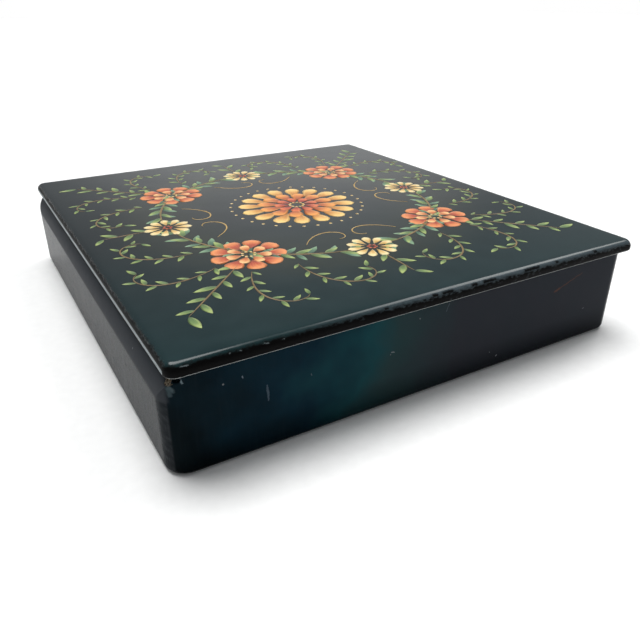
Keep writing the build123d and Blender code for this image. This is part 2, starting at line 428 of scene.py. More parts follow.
@dataclass(frozen=True)
class LidLacquer:
    """Clear oil lacquer over a blue-black painted ground, polished by hand.

    The eye gets a dark green-blue with soft mottling, a thin greenish glaze where the painting sits,
    dust specks under the varnish, and a nose in painted reflections: a slate sheen along its upper edge,
    a near-black band that is chipped along its upper edge, a highlight on the lower arris and on the
    hinge side, and a few glints.
    """

    ground: str = "#062022"
    mottle: str = "#0F2A2D"
    back: str = "#0B1215"
    glaze: str = "#262B1E"
    dust: str = "#4E5856"
    # Painted reflections round the nose, from just below the top over the side and the lower arris to the
    # underside: a dark band, then a pale painted highlight on the lower arris
    nose: Stops = (
        (0.52, "#060606"), (0.56, "#10181B"), (0.61, "#A2A4A2"), (0.76, "#A2A4A2"), (0.82, "#0A1517")
    )
    # Painted slate sheen along the nose's upper edge
    edge: str = "#3C474C"
    # Painted highlight along the arris on the hinge side
    painted_arris_highlight: str = "#8E9698"
    # Painted glints on the nose
    painted_glint: str = "#5E6668"
    mottle_size: float = 9 * MM
    back_share: float = 0.8
    glaze_size: float = 7 * MM
    dust_spacing: float = 7 * MM
    dust_share: float = 0.035
    # Flakes: how far they push the rim of the nose's painted band, where it counts as that band, how much
    # lower it starts where the painted slate sheen runs, and where round the nose that sheen begins and is
    # full
    flake_size: Triple = (1.6 * MM, 1.6 * MM, 0.8 * MM)
    flake_push: float = 0.45
    bare_band: Pair = (0.36, 0.56)
    edge_drop: float = 0.12
    edge_band: Pair = (0.02, 0.12)
    # Length and reach of the wobble along a knock and a painted glint
    wobble: Pair = (0.8 * MM, 0.9 * MM)
    wave_size: float = 22 * MM
    relief: float = 0.08 * MM
    # Where the painted highlight along the arris on the hinge side starts and is full, in from the side
    arris_reach: Pair = (0.1 * MM, 0.04 * MM)
    # Where the glaze starts, is full and ends, out from the middle
    glaze_reach: Triple = (34 * MM, 64 * MM, 94 * MM)
    # Where along X the painted slate sheen on the upper edge starts and is full
    edge_reach: Pair = (-65 * MM, -5 * MM)
    # Painted glints along the nose's upper edge
    painted_glints: EdgeMarks = EdgeMarks(
        ((-94.6, -92.4), (-80.2, -79.8), (-76.8, -76.3), (-69.4, -67.6), (-63.0, -62.4)),
        inset=0.7 * MM,
        rise=3.5 * MM,
        width=0.5 * MM,
    )
    knocks: EdgeMarks = EdgeMarks(
        ((-25.3, -24.5), (-5.5, -3.9), (-1.2, 2.9), (12.2, 14.0))
        + ((17.5, 22.9), (38.0, 44.9), (54.3, 55.1), (76.0, 77.2)),
        inset=0.9 * MM,
        rise=3.8 * MM,
        width=1.8 * MM,
    )
    # Shine of whole lacquer and of the nose's painted band, roughness of whole lacquer, and what that band
    # adds to it
    shine: Pair = (0.32, 0.04)
    gloss: Pair = (0.14, 0.2)
    bare_dulling: float = 0.3

    def material(self, low: Vector, high: Vector) -> Material:
        """Build the material.

        Args:
            low: Lowest corner of the lid.
            high: Highest corner of the lid.

        Returns:
            The finished material.
        """
        finish = FinishTree("lid_lacquer_over_blue_black")
        add, middle = finish.add, (low + high) / 2
        x, y, _ = add("SeparateXYZ", (finish.place,)).node.outputs
        # The mottled ground, which fades to the back, and the glaze in a wide ring
        drift = finish.patches(self.mottle_size, detail=5.0)
        fading = add("MapRange", (y, low.y, middle.y, 0, self.back_share))
        out = add("VectorMath", (finish.place, middle), operation="DISTANCE")
        inner, full, outer = self.glaze_reach
        veil = finish.patches(self.glaze_size, detail=4.0)
        for start in (inner, outer):
            ring = add("MapRange", (out, start, full), interpolation_type="SMOOTHSTEP")
            veil = add("Math", (ring, veil), operation="MULTIPLY")
        specks = finish.specks(self.dust_spacing, self.dust_share)
        # The nose in painted reflections: a slate sheen along its upper edge, and a dark band and
        # lower-arris highlight made ragged by flakes and knocks
        nose = add("Attribute", out="Fac", attribute_type="GEOMETRY", attribute_name="nose")
        sheen_along_x = add("MapRange", (x, *self.edge_reach))
        painted_edge_sheen = add("MapRange", (nose, *self.edge_band, 0, sheen_along_x))
        flakes = finish.patches(self.flake_size)
        lowered = add("Math", (sheen_along_x, -self.edge_drop, nose), operation="MULTIPLY_ADD")
        broken = add("Math", (flakes, self.flake_push, lowered), operation="MULTIPLY_ADD")
        chipped_painted_band = add("MapRange", (broken, *self.bare_band))
        place = finish.shaken(*self.wobble)
        for line in self.knocks.draw(finish, place, low):
            chipped_painted_band = add("Math", (chipped_painted_band, line), operation="MAXIMUM")
        painted_nose_reflection = add("ValToRGB", (nose,), stops=self.nose)
        arris_highlight_mask = add("MapRange", (x, *(low.x + inset for inset in self.arris_reach)))
        coats = [(drift, self.mottle), (fading, self.back), (veil, self.glaze), (specks, self.dust)]
        coats += [(painted_edge_sheen, self.edge), (chipped_painted_band, painted_nose_reflection), (arris_highlight_mask, self.painted_arris_highlight)]
        coats += [(line, self.painted_glint) for line in self.painted_glints.draw(finish, place, low)]
        shine = add("MapRange", (chipped_painted_band, 0, 1, *self.shine))
        polish = add("MapRange", (drift, *USUAL, *self.gloss))
        dull = add("Math", (chipped_painted_band, self.bare_dulling, polish), operation="MULTIPLY_ADD")
        waves = finish.patches(self.wave_size, detail=1.0)
        whole = add("Math", (1.0, chipped_painted_band), operation="SUBTRACT")
        reliefs = ((waves, self.relief), (whole, self.relief))
        return finish.close(self.ground, coats, reliefs, Roughness=dull, Specular_IOR_Level=shine)


@dataclass(frozen=True)
class RedLacquer:
    """Red oil lacquer, brushed inside the box and under the lid.

    The eye gets an even warm red, darker where the coat is thick, with a soft gloss and brush marks.
    """

    thick: str = "#5A130D"
    thin: str = "#7E2115"
    patch: Triple = (14 * MM, 5 * MM, 5 * MM)
    # Brush hairs leave marks about 0.3 mm apart. They are drawn coarser, so that they show.
    brush_mark: Triple = (18 * MM, 1.2 * MM, 1.2 * MM)
    brush_ridge: float = 0.02 * MM
    gloss: Pair = (0.25, 0.42)

    def material(self) -> Material:
        """Build the material.

        Returns:
            The finished material.
        """
        finish = FinishTree("red_oil_lacquer")
        drift = finish.patches(self.patch, detail=4.0)
        gloss = finish.add("MapRange", (drift, 0, 1, *self.gloss))
        brushed = finish.patches(self.brush_mark, detail=2.0)
        reliefs = ((brushed, self.brush_ridge),)
        return finish.close(self.thick, [(drift, self.thin)], reliefs, Roughness=gloss)


@dataclass(frozen=True)
class HingeBrass:
    """Rolled brass, blackened with the box's own lacquer, which has worn off where it rubs.

    The eye gets a dull dark metal with patches of brown gold showing through.
    """

    name: str
    worn: float
    lacquer: str = "#0D0B09"
    brass: str = "#9A7434"
    rub_mark: Triple = (0.8 * MM, 2.4 * MM, 0.8 * MM)
    coat: float = 0.03 * MM
    rim: Pair = (0.95, 1.05)
    gloss: Pair = (0.28, 0.5)

    def material(self) -> Material:
        """Build the material.

        Returns:
            The finished material.
        """
        finish = FinishTree(self.name)
        rub = finish.patches(self.rub_mark, detail=4.0)
        bare = finish.add("MapRange", (rub, *(edge - self.worn for edge in self.rim)))
        gloss = finish.add("MapRange", (rub, 0, 1, *self.gloss))
        coats, reliefs = [(bare, self.brass)], [(bare, self.coat)]
        return finish.close(self.lacquer, coats, reliefs, Metallic=bare, Roughness=gloss)


@dataclass(frozen=True)
class Tempera:
    """Egg tempera laid in single brush strokes and sealed under lacquer.

    The eye gets a stroke that starts deep, swells to its full colour and ends light, with streaks from
    the brush and a pale contour along one side.
    """

    name: str
    deep: str
    body: str
    light: str
    # Where along a stroke it is still deep, has its full colour and is light
    stages: Triple = (0.12, 0.62, 1.0)
    patch: float = 1.6 * MM
    patch_push: float = 0.35
    # Streaks across a stroke, fewer and coarser than a real brush has hairs, so that they show
    streaks: float = 2.2
    streak_share: float = 0.18
    streak_ridge: float = 0.02 * MM
    # Where across a stroke the contour begins and is full, and how strong it is
    rim: Pair = (0.66, 0.95)
    rim_share: float = 0.75
    gloss: Pair = (0.28, 0.42)

    def material(self) -> Material:
        """Build the material.

        Returns:
            The finished material.
        """
        finish = FinishTree(self.name)
        add = finish.add
        across, along, _ = add("SeparateXYZ", (finish.stroke,)).node.outputs
        wander = finish.patches(self.patch)
        loose = add("Math", (wander, self.patch_push, along), operation="MULTIPLY_ADD")
        stops = tuple(zip(self.stages, (self.deep, self.body, self.light)))
        flow = add("ValToRGB", (loose,), stops=stops)
        comb = {"Vector": finish.stroke, "Scale": self.streaks, "Distortion": 1.5, "Detail": 2.0}
        hairs = add("TexWave", comb, out="Fac", bands_direction="X")
        rim = add("MapRange", (across, *self.rim, 0, self.rim_share), interpolation_type="SMOOTHSTEP")
        combed = add("Math", (hairs, self.streak_share, rim), operation="MULTIPLY_ADD", use_clamp=True)
        sealed = add("MapRange", (wander, 0, 1, *self.gloss))
        return finish.close(flow, [(combed, self.light)], [(hairs, self.streak_ridge)], Roughness=sealed)


@dataclass(frozen=True)
class LinePaint:
    """Thin ochre paint drawn with a pointed brush.

    The eye gets a fine warm line that thins and thickens in colour where the brush ran dry.
    """

    name: str
    dry: str
    full: str
    patch: float = 2.5 * MM
    gloss: Pair = (0.28, 0.42)

    def material(self) -> Material:
        """Build the material.

        Returns:
            The finished material.
        """
        finish = FinishTree(self.name)
        load = finish.patches(self.patch)
        sealed = finish.add("MapRange", (load, 0, 1, *self.gloss))
        return finish.close(self.dry, [(load, self.full)], Roughness=sealed)


@dataclass(frozen=True)
class FloorPaper:
    """Matt white background paper, which gives the eye a faint fibre and no shine."""

    shade: str = "#EDEDEC"
    fibre: str = "#F6F6F5"
    patch: float = 4 * MM
    roughness: float = 0.9
    ior: float = 1.45

    def material(self) -> Material:
        """Build the material.

        Returns:
            The finished material.
        """
        finish = FinishTree("matt_white_paper")
        pulp = finish.patches(self.patch, detail=4.0)
        return finish.close(self.shade, [(pulp, self.fibre)], Roughness=self.roughness, IOR=self.ior)


class Paint(Enum):
    """The pots on the painter's table."""

    GOLD_PETAL = Tempera("golden_ochre_tempera", "#6E3410", "#C07A28", "#EFC777")
    ORANGE_PETAL = Tempera("burnt_orange_tempera", "#5A1C0E", "#B0501C", "#E79A48")
    RED_PETAL = Tempera("madder_red_tempera", "#46110B", "#9E2D1A", "#DC7444")
    CORAL_PETAL = Tempera("vermilion_tempera", "#4E140C", "#A93A1C", "#E28E54")
    ROSE_PETAL = Tempera("apricot_tempera", "#6A2410", "#C2642C", "#EEBE80")
    CREAM_PETAL = Tempera("cream_tempera", "#80521E", "#CFA452", "#F0DCA6")
    WARM_LEAF = Tempera("olive_green_tempera", "#1C3624", "#55733E", "#A2B268")
    COOL_LEAF = Tempera("blue_green_tempera", "#15302B", "#3A5F4A", "#7E9F7C")
    STEM = LinePaint("brown_stem_paint", "#5C4428", "#9A7E4A")
    TENDRIL = LinePaint("ochre_line_paint", "#A0752F", "#E0BE72")


def put_in_scene(name: str, data: ID) -> Object:
    """Add a mesh or camera to the scene, at the origin.

    Args:
        name: The object's name.
        data: Its mesh, already in place, or its camera.

    Returns:
        The new object.
    """
    made = bpy.data.objects.new(name, data)
    bpy.context.scene.collection.objects.link(made)
    return made


def bake(carrier: Object) -> Mesh:
    """Turn an object and its modifiers into a plain mesh, and remove the object.

    Args:
        carrier: The object.

    Returns:
        The mesh.
    """
    evaluated = carrier.evaluated_get(bpy.context.evaluated_depsgraph_get())
    mesh = bpy.data.meshes.new_from_object(evaluated)
    bpy.data.objects.remove(carrier)
    return mesh


def dress(nodes: Sequence[str], finish: Material) -> list[Object]:
    """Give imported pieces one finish.

    Args:
        nodes: The pieces' names.
        finish: Their material.

    Returns:
        The dressed pieces.
    """
    pieces = [frame["nodes"][name] for name in nodes]
    for piece in pieces:
        piece.data.materials.clear()
        piece.data.materials.append(finish)
    return pieces


@dataclass(frozen=True)
class RoundedOutline:
    """A rectangle with rounded corners, walked anticlockwise."""

    low: Vector
    high: Vector
    corner: float

    def stations(self, step: float, turns: int) -> list[tuple[Vector, Vector]]:
        """Walk the outline once.

        Args:
            step: Longest step along a straight side.
            turns: Number of steps round each corner.

        Returns:
            Points with their outward normals.
        """
        found = []
        corners = ((1, -1, -90), (1, 1, 0), (-1, 1, 90), (-1, -1, 180))
        middle = (self.low.xy + self.high.xy) / 2
        inner = (self.high.xy - self.low.xy) / 2 - Vector((self.corner, self.corner))
        for number, (side_x, side_y, first) in enumerate(corners):
            centre = middle + Vector((side_x * inner.x, side_y * inner.y))
            for turn in range(turns + 1):
                angle = math.radians(first + 90 * turn / turns)
                normal = Vector((math.cos(angle), math.sin(angle)))
                found.append((centre + normal * self.corner, normal))
            length = 2 * inner[1 - number % 2]
            steps = math.ceil(length / step)
            start, normal = found[-1]
            ahead = Vector((-normal.y, normal.x))
            found += [(start + ahead * length * i / steps, normal) for i in range(1, steps)]
        return found


def loft(name: str, rings: Lines, closed: bool) -> Mesh:
    """Skin a row of rings that have equal numbers of points.

    Args:
        name: The mesh's name.
        rings: Rings of points, each walked anticlockwise from above.
        closed: Whether the last ring joins the first. Otherwise each end closes in a pole.

    Returns:
        A closed mesh whose faces point outwards.
    """
    count = len(rings[0])
    points = [point for ring in rings for point in ring]
    pairs = [(i, (i + 1) % count) for i in range(count)]
    faces: list[tuple[int, ...]] = []
    for band in range(len(rings) if closed else len(rings) - 1):
        low, high = band * count, (band + 1) % len(rings) * count
        faces += [(low + i, low + j, high + j, high + i) for i, j in pairs]
    if not closed:
        first, last = len(points), len(points) + 1
        points += [sum(ring, Vector((0, 0, 0))) / count for ring in (rings[0], rings[-1])]
        top = (len(rings) - 1) * count
        faces += [(j, i, first) for i, j in pairs]
        faces += [(top + i, top + j, last) for i, j in pairs]
    mesh = bpy.data.meshes.new(name)
    mesh.from_pydata(points, [], faces)
    return mesh


def finish_loft(
    mesh: Mesh, lacquer: Material, red: Sequence[bool], mark: str, values: Sequence[float]
) -> None:
    """Give a lofted mesh its lacquer, red lacquer where it isn't seen when shut, and one value at each point
    that its material reads: the walls' bare board, and the lid's place round its nose, which its painted
    reflections follow.

    Args:
        mesh: The mesh.
        lacquer: Its main material.
        red: Whether each face is red.
        mark: Name of the value that its material reads.
        values: That value at each point.
    """
    mesh.materials.append(lacquer)
    mesh.materials.append(RedLacquer().material())
    mesh.polygons.foreach_set("material_index", [int(each) for each in red])
    mesh.attributes.new(mark, "FLOAT", "POINT").data.foreach_set("value", values)


def cut(mesh: Mesh, cutters: Sequence[Mesh], sharp: float = 40.0) -> Mesh:
    """Take cutters out of a mesh, one after the other, and shade it smooth between sharp edges.

    Args:
        mesh: What is cut.
        cutters: Closed shapes that go.
        sharp: Angle in degrees from which an edge is sharp.

    Returns:
        What is left.
    """
    carrier = put_in_scene(mesh.name, mesh)
    tools = [put_in_scene(cutter.name, cutter) for cutter in cutters]
    for tool in tools:
        seat = carrier.modifiers.new("seat", "BOOLEAN")
        seat.operation, seat.object = "DIFFERENCE", tool
    left = bake(carrier)
    for tool in tools:
        bpy.data.objects.remove(tool)
    left.shade_smooth()
    left.set_sharp_from_angle(angle=math.radians(sharp))
    return left


@dataclass
class HingeSeats:
    """The room that the two hinges take in the wall and in the lid."""

    clearance: float = 0.3 * MM
    glue_gap: float = 0.1 * MM
    segments: int = 48
    ends: tuple[str, ...] = ("front", "back")
    axis: Vector = field(init=False)

    def __post_init__(self) -> None:
        """Take the axis from the lid's joint."""
        self.axis = Vector(frame["joints"][0]["pos_m"])

    def beds(self) -> list[Mesh]:
        """Shape the round beds of the barrels.

        Returns:
            A closed cylinder for each hinge.
        """
        made = []
        for end in self.ends:
            low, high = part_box(f"hinge_wall_leaf_{end}")
            radius = high.z - self.axis.z + self.clearance
            middle = Vector((self.axis.x, (low.y + high.y) / 2, self.axis.z))
            shape = bmesh.new()
            bmesh.ops.create_cone(
                shape,
                cap_ends=True,
                segments=self.segments,
                radius1=radius,
                radius2=radius,
                depth=high.y - low.y + 2 * self.clearance,
                matrix=Matrix.Translation(middle) @ Matrix.Rotation(math.pi / 2, 4, "X"),
            )
            made.append(bpy.data.meshes.new(f"bed_{end}"))
            shape.to_mesh(made[-1])
            shape.free()
        return made

    def recesses(self, underside: float) -> list[Mesh]:
        """Shape the recesses that the lid's leaves lie in.

        Args:
            underside: Height of the lid's underside.

        Returns:
            A closed block for each hinge.
        """
        made = []
        room = Vector((self.glue_gap,) * 3)
        for end in self.ends:
            low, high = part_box(f"hinge_lid_leaf_{end}")
            low = Vector((self.axis.x, low.y, underside)) - room
            high = high + room
            shape = bmesh.new()
            placed = Matrix.Translation((low + high) / 2) @ Matrix.Diagonal((*(high - low), 1))
            bmesh.ops.create_cube(shape, size=1, matrix=placed)
            made.append(bpy.data.meshes.new(f"recess_{end}"))
            shape.to_mesh(made[-1])
            shape.free()
        return made


@dataclass(frozen=True)
class Wound:
    """A broken spot on the near corner: how far it reaches, how deep it goes and how bare it is."""

    middle: Triple
    reach: Triple
    depth: float
    bare: float
    ragged: float = 0.55
    tooth: float = 0.8 * MM
    rim: float = 0.3

    def share(self, point: Vector) -> float:
        """How much of the wound lies at a point.

        Args:
            point: The point.

        Returns:
            1 in the wound, falling to 0 at its ragged rim.
        """
        offset = [(a / MM - m) / r for a, m, r in zip(point, self.middle, self.reach)]
        gap = math.sqrt(sum(part * part for part in offset)) + self.ragged * noise.noise(point / self.tooth)
        return min(1.0, max(0.0, (1.0 - gap) / self.rim))


@dataclass
class WallRing:
    """The four walls, wound as one ring: a round shoulder under the hinges and one broken corner."""

    seats: HingeSeats
    corner: float = 7.5 * MM
    wall: float = 6.0 * MM
    foot_round: float = 2.0 * MM
    lip_round: float = 0.6 * MM
    shoulder: float = 10.0 * MM
    rebate: float = 1.5 * MM
    rebate_height: float = 3.5 * MM
    # Steps along a side and round a corner, and round the foot, up the outside, over the top and down
    side_step: float = 2.5 * MM
    corner_steps: int = 36
    foot_steps: int = 6
    outside_steps: int = 56
    top_steps: int = 32
    inside_steps: int = 8
    # Damage on the near corner: how far from it any lies, which way it goes in and how it flakes
    wounds: tuple[Wound, ...] = (
        Wound((-97.6, -104.6, 33.4), (1.3, 2.2, 1.7), 0.35, 1.0),
        Wound((-95.9, -106.9, 34.7), (1.3, 1.5, 1.1), 1.1, 0.25),
        Wound((-97.8, -106.0, 30.4), (1.1, 1.2, 1.9), 0.25, 0.0),
        Wound((-94.4, -107.4, 33.7), (0.5, 0.6, 0.8), 0.12, 0.0),
    )
    wear_reach: float = 12 * MM
    inwards: Triple = (0.6, 0.7, -0.4)
    flake: float = 0.7 * MM
    flake_depth: Pair = (0.8, 0.4)
    low: Vector = field(init=False)
    high: Vector = field(init=False)

    def __post_init__(self) -> None:
        """Take the walls' place from the frame."""
        self.low, self.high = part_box("wall_ring")

    def top(self, inset: float, x: float) -> float:
        """Height of the wall's upper side.

        Args:
            inset: Distance in from the outer face.
            x: Place along X, which tells how far round the shoulder it is.

        Returns:
            The height above the table.
        """
        lip, height = self.lip_round, self.high.z
        edge = min(inset, self.wall - inset)
        if edge < lip:
            height -= lip - math.sqrt(lip**2 - (lip - edge) ** 2)
        beyond = self.low.x + self.shoulder - x
        if beyond > 0:
            rise = math.sqrt(max(0.0, self.shoulder**2 - beyond**2))
            height = min(height, self.high.z - self.shoulder + rise)
        return height

    def section(self, point: Vector, normal: Vector) -> list[Vector]:
        """Trace the wall's section at a station, up the outside, over the top and down the inside.

        Args:
            point: The station on the outer face.
            normal: Its outward normal.

        Returns:
            Points along the section.
        """
        foot, wall, ledge = self.foot_round, self.wall, self.rebate_height
        quarter = [math.radians(90 * i / self.foot_steps) for i in range(self.foot_steps + 1)]
        trace = [(foot - foot * math.sin(a), foot - foot * math.cos(a)) for a in quarter]
        rise = self.top(0.0, point.x) - foot
        trace += [(0.0, foot + rise * i / self.outside_steps) for i in range(1, self.outside_steps)]
        for step in range(self.top_steps + 1):
            inset = wall * (1 - math.cos(math.pi * step / self.top_steps)) / 2
            trace.append((inset, self.top(inset, point.x - normal.x * inset)))
        drop = trace[-1][1] - ledge
        trace += [(wall, ledge + drop * i / self.inside_steps) for i in range(self.inside_steps - 1, -1, -1)]
        trace += [(wall - self.rebate, ledge), (wall - self.rebate, 0.0)]
        return [Vector((*(point - normal * inset), z)) for inset, z in trace]

    def wear(self, point: Vector) -> float:
        """Break the near corner at a point, which moves inwards.

        Args:
            point: A point of the wall.

        Returns:
            How bare the board is there.
        """
        bare, (usual, swing) = 0.0, self.flake_depth
        if point.x > self.low.x + self.wear_reach or point.y > self.low.y + self.wear_reach:
            return bare
        for wound in self.wounds:
            share = wound.share(point)
            flaked = usual + swing * noise.noise(point / self.flake)
            point += Vector(self.inwards) * (wound.depth * MM * share * flaked)
            bare = max(bare, share * wound.bare)
        return bare

    def build(self) -> Object:
        """Build the ring in lacquer, with its inside in red.

        Returns:
            The finished piece.
        """
        outline = RoundedOutline(self.low, self.high, self.corner)
        walk = outline.stations(self.side_step, self.corner_steps)
        rings = [list(ring) for ring in zip(*(self.section(point, normal) for point, normal in walk))]
        bare = [self.wear(point) for ring in rings for point in ring]
        mesh = loft("wall_ring_lacquered", rings, closed=True)
        # The inner face ends before the last two rings, which are the rebate's.
        last = (len(rings) - 3) * len(walk)
        first = last - self.inside_steps * len(walk)
        red = [first <= face.vertices[0] < last for face in mesh.polygons]
        finish_loft(mesh, WallLacquer().material(self.low, self.high), red, "bare_board", bare)
        made = put_in_scene("wall_ring_lacquered", cut(mesh, self.seats.beds()))
        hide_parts("wall_ring")
        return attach(made, Body.BOX.value)


@dataclass
class LidBoard:
    """The lid: a pressed board with a low crown, a rounded nose and red lacquer underneath."""

    seats: HingeSeats
    corner: float = 4.0 * MM
    edge: float = 4.6 * MM
    nose_top: float = 3.0 * MM
    nose_foot: float = 1.2 * MM
    crown_margin: float = 12.0 * MM
    paint_room: float = 0.2 * MM
    # Steps along a side, round a corner, round each half of the nose and up the crown
    side_step: float = 2.0 * MM
    corner_steps: int = 12
    nose_steps: int = 10
    crown_steps: int = 40
    # How the mark of the nose falls off over its upper half, from its side to the top
    nose_fall: Pair = (0.8, 0.3)
    # Rings under the lid as shares of its size, red as far as the ring before the last
    under: tuple[float, ...] = (0.05, 0.3, 0.6, 0.92, 0.97)
    low: Vector = field(init=False)
    high: Vector = field(init=False)
    middle: Vector = field(init=False)

    def __post_init__(self) -> None:
        """Take the lid's place from the frame."""
        self.low, self.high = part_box("lid_board")
        self.middle = (self.low.xy + self.high.xy) / 2

    def ground(self, x: float, y: float) -> float:
        """Height of the lacquered ground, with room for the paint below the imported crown.

        Args:
            x: Place along X.
            y: Place along Y.

        Returns:
            The height above the table.
        """
        across = (x - self.middle.x) / (self.high.x - self.middle.x + self.crown_margin)
        along = (y - self.middle.y) / (self.high.y - self.middle.y + self.crown_margin)
        crown = self.high.z - self.low.z - self.edge - self.paint_room
        return self.low.z + self.edge + crown * (1 - across**2) * (1 - along**2)

    def build(self) -> Object:
        """Build the board from the middle of its underside, round the nose, to the middle of its top.

        Returns:
            The finished piece.
        """
        outline = RoundedOutline(self.low, self.high, self.corner)
        walk = outline.stations(self.side_step, self.corner_steps)
        quarter = [math.radians(90 * i / self.nose_steps) for i in range(self.nose_steps + 1)]
        fall, rest = self.nose_fall
        flat = [point - normal * self.nose_foot - self.middle for point, normal in walk]
        rings = [[Vector((*(self.middle + p * scale), self.low.z)) for p in flat] for scale in self.under]
        # Where each ring lies round the nose, 1 underneath and 0 on the crown; the lid's painted nose
        # reflections follow it
        worn = [1.0] * len(rings)
        for angle in quarter:
            inset, rise = (self.nose_foot * (1 - part) for part in (math.sin(angle), math.cos(angle)))
            rings.append([Vector((*(p - n * inset), self.low.z + rise)) for p, n in walk])
            worn.append(1 - math.sin(angle) / 2)
        for angle in quarter:
            inset, drop = (self.nose_top * (1 - part) for part in (math.cos(angle), math.sin(angle)))
            ring = [p - n * inset for p, n in walk]
            rings.append([Vector((*p, self.ground(p.x, p.y) - drop)) for p in ring])
            worn.append(max(0.0, fall * math.cos(angle) - rest))
        crown = [point - normal * self.nose_top - self.middle for point, normal in walk]
        for step in range(1, self.crown_steps):
            ring = [self.middle + p * (1 - step / self.crown_steps) for p in crown]
            rings.append([Vector((*p, self.ground(p.x, p.y))) for p in ring])
            worn.append(0.0)
        mesh = loft("lid_board_lacquered", rings, closed=False)
        pole, last = len(mesh.vertices) - 2, (len(self.under) - 1) * len(walk)
        red = [max(face.vertices) < last or pole in face.vertices for face in mesh.polygons]
        wear = [each for each in worn for _ in walk] + [1.0, 0.0]
        finish_loft(mesh, LidLacquer().material(self.low, self.high), red, "nose", wear)
        mesh = cut(mesh, self.seats.beds() + self.seats.recesses(self.low.z))
        made = put_in_scene("lid_board_lacquered", mesh)
        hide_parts("lid_board")
        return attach(made, Body.LID.value)


@dataclass(frozen=True)
class Stroke:
    """One mark of a loaded brush: a low dome of paint that runs along +X."""

    name: str
    length: float
    width: float
    belly: float = 0.6
    pointed: float = 0.7
    bend: float = 0.0
    heel: float = 0.0
    relief: float = 0.05 * MM
    rows: int = 8
    columns: int = 4

    def mesh(self) -> Mesh:
        """Build the stroke as a closed mesh with a UV map that runs across and along it.

        Returns:
            The mesh, with its heel at the origin.
        """
        swell = math.log(0.5) / math.log(self.belly)
        points = [Vector((-self.heel * self.length, 0, 0))]
        places = [(0.5, 0.0)]
        for row in range(1, self.rows):
            along = row / self.rows
            half = self.width / 2 * math.sin(math.pi * along**swell) ** self.pointed
            for column in range(self.columns + 1):
                across = 2 * column / self.columns - 1
                dome = self.relief * math.sqrt(1 - across**2)
                x = self.length * (along - self.heel)
                points.append(Vector((x, half * across + self.bend * along**2, dome)))
                places.append((column / self.columns, along))
        points.append(Vector((self.length * (1 - self.heel), self.bend, 0)))
        places.append((0.5, 1.0))
        wide, tip = self.columns + 1, len(points) - 1
        last = tip - wide
        faces: list[tuple[int, ...]] = [(0, 1 + c, 2 + c) for c in range(self.columns)]
        for row in range(self.rows - 2):
            at = 1 + row * wide
            faces += [(at + c, at + wide + c, at + wide + c + 1, at + c + 1) for c in range(self.columns)]
        faces += [(last + c, tip, last + c + 1) for c in range(self.columns)]
        near = [1 + row * wide for row in range(self.rows - 1)]
        far = [at + self.columns for at in near]
        faces.append((0, *far, tip, *reversed(near)))
        mesh = bpy.data.meshes.new(self.name)
        mesh.from_pydata(points, [], faces)
        mesh.shade_smooth()
        layer = mesh.uv_layers.new(name="UVMap")
        for loop in mesh.loops:
            layer.data[loop.index].uv = places[loop.vertex_index]
        return mesh


class BrushTree:
    """A Geometry Nodes tree in the making, which repeats what it paints round the lid's middle."""

    def __init__(self, name: str, **inputs: str) -> None:
        """Start a tree.

        Args:
            name: What the tree paints.
            inputs: Names of its own inputs, with the kind of each.
        """
        self.tree = bpy.data.node_groups.new(name, "GeometryNodeTree")
        self.add = partial(add_node, self.tree)
        for label, kind in {"Geometry": "Geometry", **inputs, "Turns": "Int", "Finish": "Material"}.items():
            self.tree.interface.new_socket(label, in_out="INPUT", socket_type=f"NodeSocket{kind}")
        self.tree.interface.new_socket("Geometry", in_out="OUTPUT", socket_type="NodeSocketGeometry")
        self.given = self.add("NodeGroupInput").node.outputs

    def facing(self, angle: Socket) -> Socket:
        """Turn an angle in the plane of the lid, in radians, into a rotation about Z."""
        euler = self.add("CombineXYZ", {"Z": angle})
        return self.add("FunctionNodeEulerToRotation", {"Euler": euler})

    def heading(self, direction: Socket) -> Socket:
        """Read the angle from +X, in radians, of a direction in the plane of the lid."""
        x, y, _ = self.add("SeparateXYZ", {"Vector": direction}).node.outputs
        return self.add("Math", (y, x), operation="ARCTAN2")

    def close(self, painted: Socket) -> "BrushTree":
        """Repeat the paint round the middle, make it real and give it its finish.

        Args:
            painted: What the tree has painted in its first part of the lid.

        Returns:
            The finished tree.
        """
        number = self.add("GeometryNodeInputIndex")
        step = self.add("Math", (math.tau, self.given["Turns"]), operation="DIVIDE")
        angle = self.add("Math", (number, step), operation="MULTIPLY")
        middle = self.add("GeometryNodePoints", {"Count": self.given["Turns"]})
        parts = {"Points": middle, "Instance": painted, "Rotation": self.facing(angle)}
        real = self.add("GeometryNodeRealizeInstances", (self.add("GeometryNodeInstanceOnPoints", parts),))
        dressed = {"Geometry": real, "Material": self.given["Finish"]}
        self.add("NodeGroupOutput", {"Geometry": self.add("GeometryNodeSetMaterial", dressed)})
        return self

    def run(self, host: Mesh, values: Mapping[str, object]) -> Mesh:
        """Run the tree on a mesh.

        Args:
            host: The points or lines that the tree starts from.
            values: A value for each named input.

        Returns:
            The result as a plain mesh.
        """
        carrier = put_in_scene("brush_host", host)
        modifier = carrier.modifiers.new(self.tree.name, "NODES")
        modifier.node_group = self.tree
        for item in self.tree.interface.items_tree:
            if item.in_out == "INPUT" and item.name in values:
                modifier[item.identifier] = values[item.name]
        return bake(carrier)


